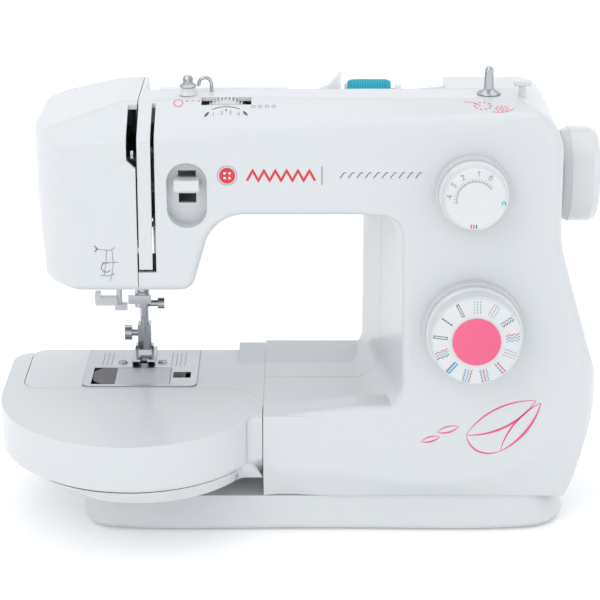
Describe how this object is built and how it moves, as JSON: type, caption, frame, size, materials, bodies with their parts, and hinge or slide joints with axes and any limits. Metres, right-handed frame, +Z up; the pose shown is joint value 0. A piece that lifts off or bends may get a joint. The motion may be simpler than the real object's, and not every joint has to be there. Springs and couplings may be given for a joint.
{
  "type": "sewing machine",
  "caption": "Mechanical domestic sewing machine with free arm, slide-on extension table, drop-in hook, handwheel, dials, reverse lever and horizontal spool pin.",
  "frame": {"origin": "centre of the machine's footprint, on the table top that the rubber feet stand on", "axes": "+X from the needle end to the handwheel, +Y from the operator to the rear, +Z up"},
  "size_m": [0.389, 0.165, 0.2985],
  "materials": {
    "case_white": "moulded ABS, fine satin gloss",
    "knob_white": "moulded ABS",
    "cover_white": "moulded plastic",
    "rubber_dark": "moulded rubber",
    "plate_steel": "fine brushed plate",
    "chrome_steel": "nickel plated",
    "dark_steel": "ground and oiled",
    "latch_dark": "moulded nylon",
    "smoke_window": "smoked clear plastic",
    "bobbin_clear": "clear plastic",
    "cast_frame": "as cast",
    "pulley_black": "moulded nylon",
    "motor_steel": "stove enamel",
    "cap_pink": "glossy insert",
    "thread_teal": "polyester thread",
    "black_plastic": "moulded",
    "lamp_glass": "frosted"
  },
  "bodies": {
    "machine": {"front_cover": "case_white", "rear_cover": "case_white", "face_cover": "case_white", "thread_strip": "case_white", "base_tray": "case_white", "rubber_feet": "rubber_dark", "free_arm_cover": "case_white", "needle_plate": "plate_steel", "fixings": "chrome_steel", "bobbin_case": "latch_dark", "main_frame": "cast_frame", "motor": "motor_steel", "belts": "rubber_dark", "presser_spring": "dark_steel", "lamp": "lamp_glass", "tension_discs": "chrome_steel", "power_inlet": "black_plastic", "winder_stopper": "knob_white", "guide_post": "knob_white", "guide_disc": "chrome_steel", "thread_hook": "chrome_steel", "spool_pin": "knob_white"},
    "upper_shaft": {"main_shaft": "dark_steel", "handwheel": "knob_white", "drive_pulley": "pulley_black"},
    "link": {"needle_link": "dark_steel"},
    "lower_shaft": {"lower_shaft": "dark_steel"},
    "hook": {"rotary_hook": "dark_steel"},
    "bobbin": {"bobbin": "bobbin_clear"},
    "rotor": {"motor_rotor": "motor_steel"},
    "needle_bar": {"needle_bar": "chrome_steel", "needle_clamp": "chrome_steel", "clamp_screw": "chrome_steel", "needle": "chrome_steel"},
    "threader": {"needle_threader": "knob_white"},
    "take_up": {"take_up_lever": "chrome_steel"},
    "presser_bar": {"presser_bar": "chrome_steel", "foot_holder": "chrome_steel", "foot_screw": "chrome_steel"},
    "presser_foot": {"presser_foot": "chrome_steel"},
    "lifter": {"presser_lifter": "knob_white"},
    "feed_bar": {"feed_bar": "dark_steel"},
    "feed_dog": {"feed_dog": "dark_steel"},
    "bobbin_cover": {"bobbin_cover": "cover_white", "bobbin_window": "smoke_window"},
    "cover_latch": {"cover_latch": "latch_dark"},
    "length_dial": {"length_dial": "knob_white"},
    "pattern_dial": {"pattern_dial": "knob_white", "pattern_dial_cap": "cap_pink"},
    "reverse_lever": {"reverse_lever": "knob_white"},
    "tension_wheel": {"tension_wheel": "knob_white"},
    "switch": {"power_switch": "black_plastic"},
    "winder_arm": {"winder_arm": "dark_steel"},
    "winder_spindle": {"winder_spindle": "chrome_steel"},
    "spool": {"spool_reel": "knob_white", "spool_thread": "thread_teal"},
    "spool_cap": {"spool_cap": "knob_white"},
    "handle": {"carrying_handle": "knob_white"},
    "table": {"extension_table": "case_white"}
  },
  "joints": [
    {"name": "handwheel_turn", "type": "hinge", "parent": "machine", "child": "upper_shaft", "pos_m": [0, 0.042, 0.2215], "axis": [1, 0, 0], "continuous": true},
    {"name": "link_turn", "type": "hinge", "parent": "upper_shaft", "child": "link", "pos_m": [-0.092, 0.042, 0.237], "axis": [1, 0, 0], "continuous": true},
    {"name": "lower_shaft_turn", "type": "hinge", "parent": "machine", "child": "lower_shaft", "pos_m": [0, 0.051, 0.054], "axis": [1, 0, 0], "continuous": true},
    {"name": "hook_turn", "type": "hinge", "parent": "machine", "child": "hook", "pos_m": [-0.106, 0.035, 0.0645], "axis": [0, 0, 1], "continuous": true},
    {"name": "motor_turn", "type": "hinge", "parent": "machine", "child": "rotor", "pos_m": [0, 0.018, 0.064], "axis": [1, 0, 0], "continuous": true},
    {"name": "bobbin_turn", "type": "hinge", "parent": "machine", "child": "bobbin", "pos_m": [-0.106, 0.035, 0.0695], "axis": [0, 0, 1], "continuous": true},
    {"name": "needle_stroke", "type": "slide", "parent": "machine", "child": "needle_bar", "axis": [0, 0, -1], "range_m": [0, 0.031]},
    {"name": "threader_pull", "type": "slide", "parent": "machine", "child": "threader", "axis": [0, 0, -1], "range_m": [0, 0.024], "stiffness_N_per_m": 40},
    {"name": "take_up_swing", "type": "hinge", "parent": "machine", "child": "take_up", "pos_m": [-0.102, 0.024, 0.236], "axis": [-1, 0, 0], "range_deg": [0, 30]},
    {"name": "presser_lift", "type": "slide", "parent": "machine", "child": "presser_bar", "axis": [0, 0, 1], "range_m": [0, 0.005], "deforming": ["presser_spring"]},
    {"name": "foot_rock", "type": "hinge", "parent": "presser_bar", "child": "presser_foot", "pos_m": [-0.1045, 0.065, 0.09], "axis": [-1, 0, 0], "range_deg": [0, 5], "stiffness_Nm_per_rad": 0.05},
    {"name": "lifter_swing", "type": "hinge", "parent": "machine", "child": "lifter", "pos_m": [-0.097, 0.071, 0.177], "axis": [1, 0, 0], "range_deg": [0, 60]},
    {"name": "feed_travel", "type": "slide", "parent": "machine", "child": "feed_bar", "axis": [0, 1, 0], "range_m": [-0.0016, 0.0016]},
    {"name": "feed_lift", "type": "slide", "parent": "feed_bar", "child": "feed_dog", "axis": [0, 0, 1], "range_m": [0, 0.0014]},
    {"name": "bobbin_cover_lift", "type": "slide", "parent": "machine", "child": "bobbin_cover", "axis": [0, 0, 1], "range_m": [0, 0.025]},
    {"name": "latch_slide", "type": "slide", "parent": "machine", "child": "cover_latch", "axis": [1, 0, 0], "range_m": [0, 0.003], "stiffness_N_per_m": 60},
    {"name": "length_turn", "type": "hinge", "parent": "machine", "child": "length_dial", "pos_m": [0.109, -0.02425, 0.2295], "axis": [0, -0.9971, 0.0764], "range_deg": [0, 270]},
    {"name": "pattern_turn", "type": "hinge", "parent": "machine", "child": "pattern_dial", "pos_m": [0.1115, -0.03107, 0.1405], "axis": [0, -0.9971, 0.0764], "continuous": true},
    {"name": "reverse_press", "type": "hinge", "parent": "machine", "child": "reverse_lever", "pos_m": [-0.0683, 0.004, 0.233], "axis": [1, 0, 0], "range_deg": [0, 9], "stiffness_Nm_per_rad": 1.2},
    {"name": "tension_turn", "type": "hinge", "parent": "machine", "child": "tension_wheel", "pos_m": [-0.044, 0.006, 0.2645], "axis": [0, 1, 0], "range_deg": [-150, 150]},
    {"name": "switch_rock", "type": "hinge", "parent": "machine", "child": "switch", "pos_m": [0.174, 0.014, 0.056], "axis": [0, 1, 0], "range_deg": [-5, 5]},
    {"name": "winder_engage", "type": "slide", "parent": "machine", "child": "winder_arm", "axis": [1, 0, 0], "range_m": [0, 0.004]},
    {"name": "winder_turn", "type": "hinge", "parent": "winder_arm", "child": "winder_spindle", "pos_m": [0.121, 0.018, 0.281], "axis": [0, 0, 1], "continuous": true},
    {"name": "spool_turn", "type": "hinge", "parent": "machine", "child": "spool", "pos_m": [0.031, 0.06, 0.268], "axis": [1, 0, 0], "continuous": true},
    {"name": "spool_cap_pull", "type": "slide", "parent": "machine", "child": "spool_cap", "axis": [-1, 0, 0], "range_m": [0, 0.014]},
    {"name": "handle_lift", "type": "hinge", "parent": "machine", "child": "handle", "pos_m": [0, 0.042, 0.2675], "axis": [1, 0, 0], "range_deg": [0, 100]},
    {"name": "table_pull", "type": "slide", "parent": "machine", "child": "table", "axis": [-1, 0, 0], "range_m": [0, 0.17]}
  ],
  "couplings": [
    {"joint": "link_turn", "follows": "handwheel_turn", "ratio": -1},
    {"joint": "lower_shaft_turn", "follows": "handwheel_turn", "ratio": 1},
    {"joint": "hook_turn", "follows": "handwheel_turn", "ratio": 2},
    {"joint": "motor_turn", "follows": "handwheel_turn", "ratio": 5},
    {"joint": "lifter_swing", "follows": "presser_lift", "rad_per_m": 209.43}
  ]
}
